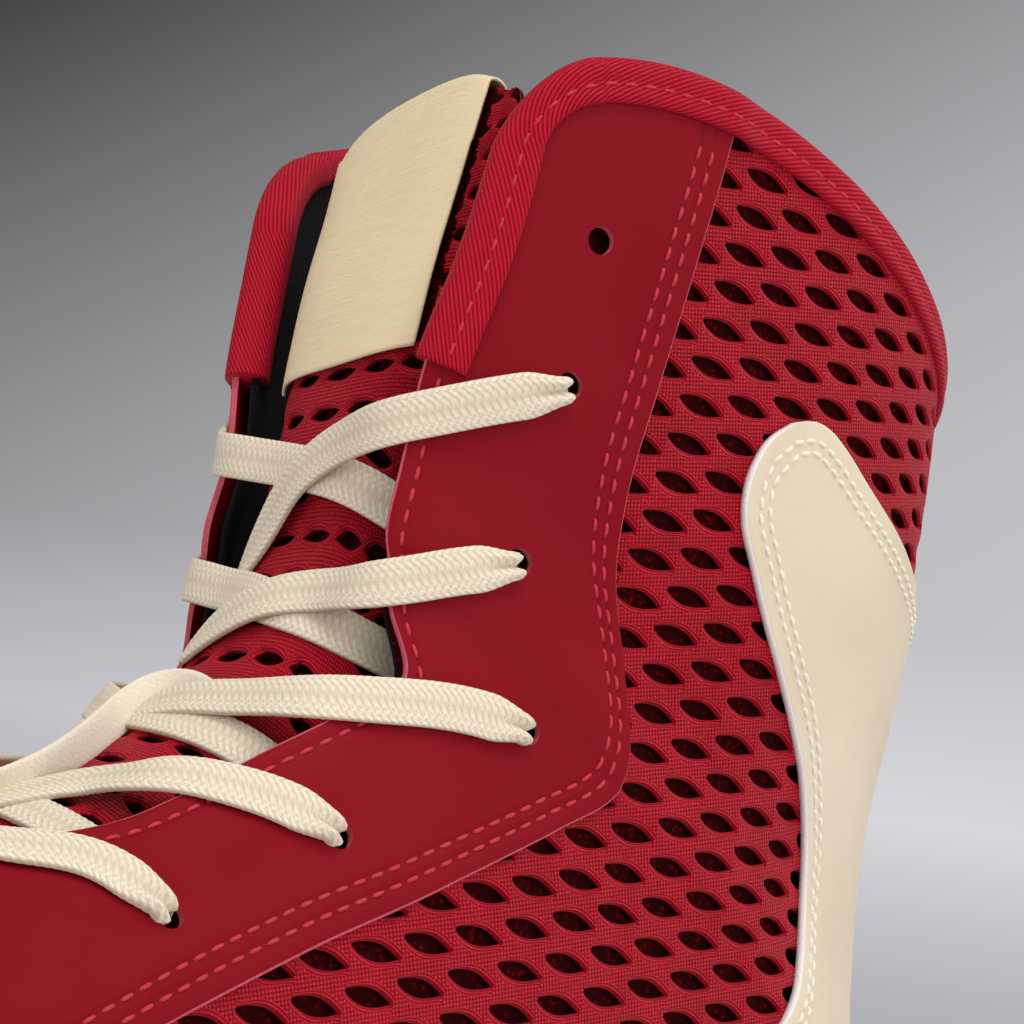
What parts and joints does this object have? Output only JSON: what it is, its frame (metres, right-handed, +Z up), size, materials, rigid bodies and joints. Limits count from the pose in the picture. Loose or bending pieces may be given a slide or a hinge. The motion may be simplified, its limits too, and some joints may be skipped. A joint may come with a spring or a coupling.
{
  "type": "boxing shoe",
  "caption": "Mid-height lace-up boxing shoe for the left foot: open-mesh upper, smooth eyestay, heel counter, bound collar, padded tongue, flat laces and a thin rubber cupsole.",
  "frame": {"origin": "on the floor under the middle of the shoe's box", "axes": "+X towards the toe, +Y towards the outer (little-toe) side, +Z up"},
  "size_m": [0.2832, 0.099, 0.1846],
  "materials": {
    "sole_rubber": "matte cream rubber",
    "insole_textile": "black brushed textile over foam",
    "upper_mesh": "red open sandwich mesh",
    "eyestay_microfibre": "smooth matte red microfibre",
    "counter_synthetic": "smooth cream synthetic leather",
    "binding_tape": "red twill tape",
    "tongue_mesh": "red open sandwich mesh over padding",
    "label_satin": "cream woven satin",
    "lace_braid": "cream flat braid"
  },
  "bodies": {
    "root": {"outsole": "sole_rubber", "insole": "insole_textile", "upper": "upper_mesh", "eyestay": "eyestay_microfibre", "heel_counter": "counter_synthetic", "collar_binding": "binding_tape", "tongue": "tongue_mesh", "tongue_label": "label_satin", "lace_1": "lace_braid", "lace_2": "lace_braid", "lace_3": "lace_braid", "lace_4": "lace_braid", "lace_5": "lace_braid", "lace_6": "lace_braid"}
  },
  "joints": []
}
